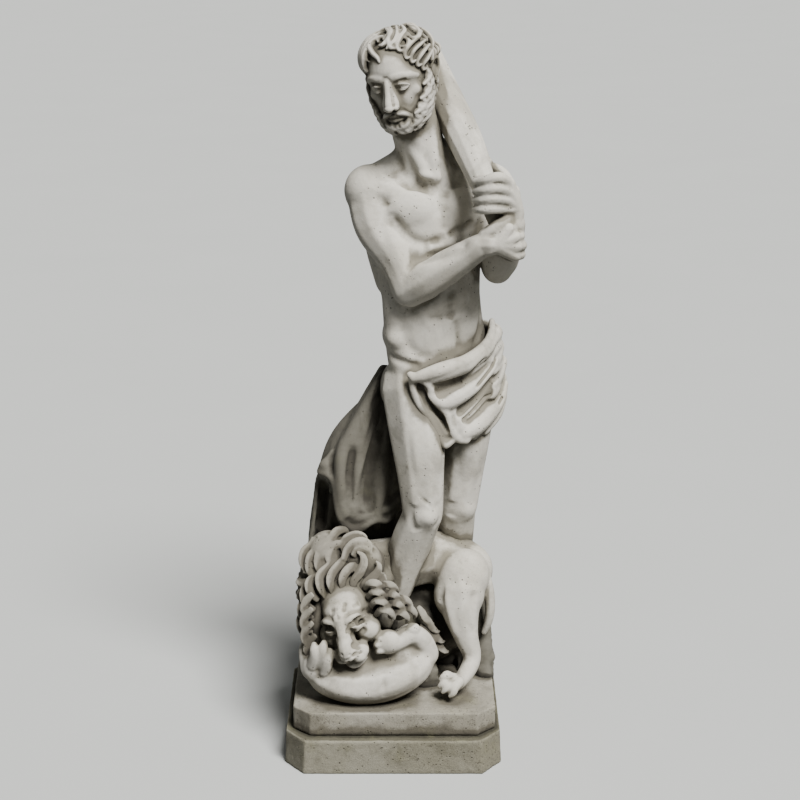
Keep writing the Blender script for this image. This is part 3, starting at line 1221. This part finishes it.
def blurred(field, spread):
    """The field of numbers blurred along its three sides, by a spread in cells."""
    reach = int(math.ceil(3 * spread))
    steps = np.arange(-reach, reach + 1)
    weights = np.exp(-0.5 * (steps / spread) ** 2)
    weights /= weights.sum()
    for side in range(3):
        padded = np.pad(field, [(reach, reach) if s == side else (0, 0) for s in range(3)])
        run = np.arange(field.shape[side])
        field = sum(w * np.take(padded, run + reach + n, side) for w, n in zip(weights, steps))
    return field


def mark_hollows(meshes, cell=4.0):
    """Gives each point its depth: under 0 on an edge, 0 in the open and 1 or more in a crevice."""
    points = [points_of(m) for m in meshes]
    normals = [normals_of(m) for m in meshes]
    areas = []
    for mesh, co in zip(meshes, points):
        mesh.calc_loop_triangles()
        corners = np.empty(len(mesh.loop_triangles) * 3, np.int32)
        mesh.loop_triangles.foreach_get("vertices", corners)
        a, b, c = (co[corners[n::3]] for n in range(3))
        area = np.linalg.norm(np.cross(b - a, c - a), axis=1) / 6
        areas.append(sum(np.bincount(corners[n::3], area, len(co)) for n in range(3)))
    everything = np.vstack(points)
    margin = 12 * cell
    low = everything.min(0) - margin
    shape = tuple(np.ceil((everything.max(0) + margin - low) / cell).astype(int))
    crowd = np.zeros(shape)
    for co, area in zip(points, areas):
        np.add.at(crowd, tuple(((co - low) / cell).astype(int).T), area)
    crowd /= cell ** 3
    for name, spread in (("crevice", 5.0), ("hollow", 15.0)):
        soft = blurred(crowd, spread / cell)
        open_surface = math.exp(-0.5) / (spread * math.sqrt(2 * math.pi))
        for mesh, co, out in zip(meshes, points, normals):
            spot = (co + spread * out - low) / cell - 0.5
            base = np.clip(np.floor(spot).astype(int), 0, np.array(shape) - 2)
            part = np.clip(spot - base, 0, 1)
            value = np.zeros(len(co))
            for corner in np.ndindex(2, 2, 2):
                weight = np.prod(np.where(corner, part, 1 - part), axis=1)
                value += weight * soft[tuple((base + corner).T)]
            depth = np.clip(value / open_surface - 1, -1, 3)
            held = mesh.attributes.new(name, "FLOAT", "POINT")
            held.data.foreach_set("value", depth.astype(np.float32))


class Varying:
    """A number that changes over the surface, with which sums are written."""

    def __init__(self, coat, socket):
        self.coat = coat
        self.socket = socket

    def worked(self, operation, *values):
        """The result of a sum with the values."""
        return self.coat.node("ShaderNodeMath", {"operation": operation}, dict(enumerate(values)))

    def __add__(self, other):
        return self.worked("ADD", self, other)

    def __sub__(self, other):
        return self.worked("SUBTRACT", self, other)

    def __rsub__(self, other):
        return self.worked("SUBTRACT", other, self)

    def __mul__(self, other):
        return self.worked("MULTIPLY", self, other)

    def __or__(self, other):
        return self.worked("MAXIMUM", self, other)

    __radd__ = __add__
    __rmul__ = __mul__

    def between(self, low, high):
        """0 at low or under, 1 at high or over, and smooth in between."""
        settings = {"interpolation_type": "SMOOTHSTEP"}
        return self.coat.node("ShaderNodeMapRange", settings, {0: self, 1: low, 2: high, 3: 0.0, 4: 1.0})


class Coat:
    """A material, and the nodes that give it its look."""

    def __init__(self, name):
        self.material = bpy.data.materials.new(name)
        self.material.use_nodes = True
        self.tree = self.material.node_tree
        self.shader = self.tree.nodes["Principled BSDF"]
        self.places = self.node("ShaderNodeTexCoord", {}, {}, "Object")

    def node(self, kind, settings, sockets, result=0):
        """Adds a node, and gives back its result as a number that varies."""
        made = self.tree.nodes.new(kind)
        for name, value in settings.items():
            setattr(made, name, value)
        for name, value in sockets.items():
            if isinstance(value, Varying):
                self.tree.links.new(value.socket, made.inputs[name])
            else:
                made.inputs[name].default_value = value
        return Varying(self, made.outputs[result])

    def noise(self, scale, detail=4.0, roughness=0.55, distortion=0.0):
        """Soft lumps, scale of them to the metre."""
        sockets = {"Vector": self.places, "Scale": scale, "Detail": detail, "Roughness": roughness,
                   "Distortion": distortion}
        return self.node("ShaderNodeTexNoise", {}, sockets)

    def cells(self, scale):
        """The distance to the nearest of many scattered points, scale of them to the metre."""
        return self.node("ShaderNodeTexVoronoi", {}, {"Vector": self.places, "Scale": scale}, "Distance")

    def mark(self, name):
        """A number held by the piece's points."""
        return self.node("ShaderNodeAttribute", {"attribute_name": name}, {}, "Fac")

    def mixed(self, share, first, second):
        """A colour that goes from the first to the second as the share goes from 0 to 1."""
        first, second = ((*c, 1) if isinstance(c, tuple) else c for c in (first, second))
        return self.node("ShaderNodeMix", {"data_type": "RGBA"}, {0: share, 6: first, 7: second}, 2)

    def feed(self, name, value):
        """Leads a number or colour that varies into one of the shader's sockets."""
        self.tree.links.new(value.socket, self.shader.inputs[name])


def concrete(name, pale, warm, dirt, soil, grit, pits, lichen):
    """Cast concrete left outdoors: warm patches, stains, dirt in its hollows, grit and small air holes.

    pale, warm and dirt are its colours. soil moves the line where dirt begins, and grit, pits and lichen
    say how much there is of each.
    """
    coat = Coat(name)
    clouds = coat.noise(7.0, 5.0, 0.6)
    patches = coat.noise(26.0, 6.0, 0.62)
    mottle = coat.noise(120.0, 5.0, 0.6)
    grains = coat.noise(900.0, 3.0, 0.6)
    crevice = coat.mark("crevice")
    hollow = coat.mark("hollow")

    holes = coat.cells(150.0)
    chosen = coat.noise(52.0, 2.0).between(0.56 - pits, 0.60 - pits)
    hole = (1 - holes.between(0.10, 0.24)) * chosen
    specks = coat.noise(620.0, 2.0).between(0.66, 0.72) * patches.between(0.42, 0.62)

    held = crevice * 1.3 + hollow * 0.8 + (patches - 0.5) * 0.9 + (mottle - 0.5) * 0.5
    dusty = held.between(0.10 - soil, 1.25 - soil)
    black = (crevice + (mottle - 0.5) * 0.6).between(0.55 - 0.5 * soil, 1.7 - soil)
    stains = coat.noise(11.0, 4.0, 0.65, 0.6).between(0.48, 0.68)
    crumbs = coat.noise(260.0, 3.0, 0.7).between(0.58, 0.64) * clouds.between(0.46, 0.60)
    colour = coat.mixed(clouds.between(0.38, 0.66) * 0.75, pale, warm)
    colour = coat.mixed(stains * 0.62, colour, tuple(0.6 * c for c in warm))
    colour = coat.mixed(mottle.between(0.45, 0.7) * 0.25, colour, tuple(0.78 * c for c in warm))
    colour = coat.mixed(dusty * 0.86, colour, dirt)
    colour = coat.mixed(black * 0.85, colour, tuple(0.42 * c for c in dirt))
    colour = coat.mixed(patches.between(0.5, 0.74) * lichen, colour, (0.30, 0.29, 0.16))
    colour = coat.mixed(grains.between(0.35, 0.75) * grit, colour, tuple(0.45 * c for c in dirt))
    colour = coat.mixed(crumbs * min(1.0, 2.2 * grit), colour, (0.07, 0.062, 0.048))
    colour = coat.mixed((hole * 0.8) | (specks * (0.35 + grit)), colour, (0.05, 0.045, 0.035))
    coat.feed("Base Color", colour)
    coat.feed("Roughness", 0.82 + 0.12 * dusty + 0.05 * grains)
    coat.shader.inputs["Specular IOR Level"].default_value = 0.3

    height = mottle * 0.5 + grains * (0.25 + grit) - hole * 1.6 + patches * 0.8
    sockets = {"Strength": 0.75, "Distance": 0.0011 + 0.0016 * grit, "Height": height}
    coat.feed("Normal", coat.node("ShaderNodeBump", {}, sockets))
    return coat.material


def finished(name, mesh, node, material):
    """Brings a finished piece to metres and names its body, its solid, its finish and its material."""
    mesh.transform(Matrix.Scale(UNIT, 4))
    mesh.name = name
    mesh.materials.clear()
    mesh.materials.append(material)
    mesh.shade_smooth()
    made = linked(name, mesh)
    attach(made, "root")
    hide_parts(node)


def lower_slab():
    """The plinth's lower slab, with worn edges and small dents."""
    low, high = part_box("base_slab")
    low, high = low / UNIT, high / UNIT
    box = (low.x + 3, high.x - 3, low.y + 3, high.y - 3)
    block = tier(low.z, high.z - 0.3, box, (34, 46), 3)
    return rough(rough(fused([block], 2.2, 4), 7, 0.9), 30, 1.6)


def upper_tier():
    """The upper tier of the plinth, with its worn edges."""
    block = tier(0.4, TIER_TOP, (-173, 177, -155, 145), (31, 31))
    return rough(rough(fused([block], 2.2, 5), 6, 0.7), 28, 1.4)


def hung(thing, name, place=(0, 0, 0), along=(0, 0, -1)):
    """Puts a camera or lamp in the scene, at a place, looking along a direction."""
    made = bpy.data.objects.new(name, thing)
    made.location = place
    made.rotation_euler = Vector(along).to_track_quat("-Z", "Y").to_euler()
    bpy.context.scene.collection.objects.link(made)
    return made


def stand_camera():
    """The camera, where the photographer stood, with its lens held level and dipped."""
    eye = bpy.data.cameras.new("camera")
    eye.sensor_width = 36
    eye.lens = CAMERA_LENS
    stand = hung(eye, "camera", CAMERA_PLACE)
    stand.rotation_euler = (math.pi / 2 - CAMERA_DIP, 0, 0)
    bpy.context.scene.camera = stand


def studio():
    """A wide plain pale floor, two soft lamps and a pale grey sky."""
    world = bpy.data.worlds.new("studio")
    bpy.context.scene.world = world
    world.use_nodes = True
    sky = world.node_tree.nodes["Background"]
    sky.inputs["Color"].default_value = (0.77, 0.785, 0.77, 1)
    sky.inputs["Strength"].default_value = 0.22
    wide = bpy.data.lights.new("wide lamp", "SUN")
    wide.energy = 7.4
    wide.angle = math.radians(24)
    wide.color = (1.0, 0.99, 0.97)
    hung(wide, "wide lamp", along=(-0.62, 1.0, -1.6))
    high = bpy.data.lights.new("high lamp", "AREA")
    high.energy = 22
    high.size = 0.9
    high.color = (1.0, 0.985, 0.96)
    hung(high, "high lamp", (1.1, -2.2, 2.9), (-1.1, 2.2, -2.25))
    bm = bmesh.new()
    bmesh.ops.create_grid(bm, x_segments=1, y_segments=1, size=60)
    floor = linked("floor", mesh_from(bm, "floor"))
    coat = Coat("pale_floor")
    coat.feed("Base Color", coat.mixed(coat.noise(2.0, 3.0), (0.455, 0.466, 0.455), (0.48, 0.491, 0.48)))
    coat.shader.inputs["Roughness"].default_value = 0.9
    floor.data.materials.append(coat.material)
    # the floor throws no light back up onto the figure
    floor.visible_diffuse = False


stand_camera()
studio()

slab_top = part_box("base_slab")[1].z / UNIT

pale = concrete("pale_concrete", (0.60, 0.575, 0.51), (0.49, 0.46, 0.385), (0.15, 0.135, 0.10),
                soil=-0.02, grit=0.10, pits=0.0, lichen=0.05)
combed = concrete("combed_concrete", (0.58, 0.555, 0.50), (0.50, 0.47, 0.40), (0.17, 0.155, 0.12),
                  soil=-0.35, grit=0.12, pits=0.0, lichen=0.05)
sooty = concrete("sooty_concrete", (0.135, 0.127, 0.104), (0.105, 0.097, 0.076), (0.036, 0.032, 0.025),
                 soil=0.15, grit=0.15, pits=0.0, lichen=0.08)
hide = concrete("hide_concrete", (0.59, 0.565, 0.50), (0.48, 0.45, 0.375), (0.15, 0.135, 0.10),
                soil=0.14, grit=0.12, pits=0.0, lichen=0.05)
smoky = concrete("smoky_concrete", (0.33, 0.31, 0.262), (0.25, 0.233, 0.188), (0.075, 0.066, 0.05),
                 soil=0.1, grit=0.15, pits=0.0, lichen=0.08)
crumbly = concrete("crumbly_concrete", (0.35, 0.33, 0.275), (0.27, 0.25, 0.195), (0.085, 0.075, 0.055),
                   soil=0.12, grit=0.35, pits=0.04, lichen=0.16)
gritty = concrete("weathered_concrete", (0.27, 0.255, 0.20), (0.20, 0.185, 0.13), (0.08, 0.074, 0.05),
                  soil=0.2, grit=0.45, pits=0.08, lichen=0.25)

# Each piece of the upper casting: its mesh, the most triangles it keeps and its material
figure = {
    "body": (relief(body(voxel=2.1), trunk_relief()), 165000, pale),
    "face": (face(voxel=1.3), 80000, pale),
    "hair_and_beard": (fused([hair(), beard()], voxel=1.3, soften=2), 150000, combed),
    "club": (fused([club()], voxel=2.0, soften=2), 60000, pale),
    "hip_cloth": (relief(hip_cloth(voxel=1.6), cloth_relief()), 90000, pale),
    "fall_of_cloth": (relief(fall(voxel=1.9), fall_relief()), 70000, sooty),
    "lion": (relief(lion(voxel=1.9), lion_relief()), 122000, hide),
    "mane": (mane_and_curls(voxel=1.5), 125000, smoky),
    "rocks": (rocks(), 60000, sooty),
    "upper_tier": (upper_tier(), 40000, crumbly),
}
pieces = {name: slimmed(mesh, most) for name, (mesh, most, _) in figure.items()}
slab = slimmed(lower_slab(), 40000)
for mesh in pieces.values():
    mesh.transform(Matrix.Translation((0, 0, slab_top)))
mark_hollows([*pieces.values(), slab])
for name, mesh in pieces.items():
    finished(name, mesh, "man_and_lion", figure[name][-1])
finished("lower_slab", slab, "base_slab", gritty)
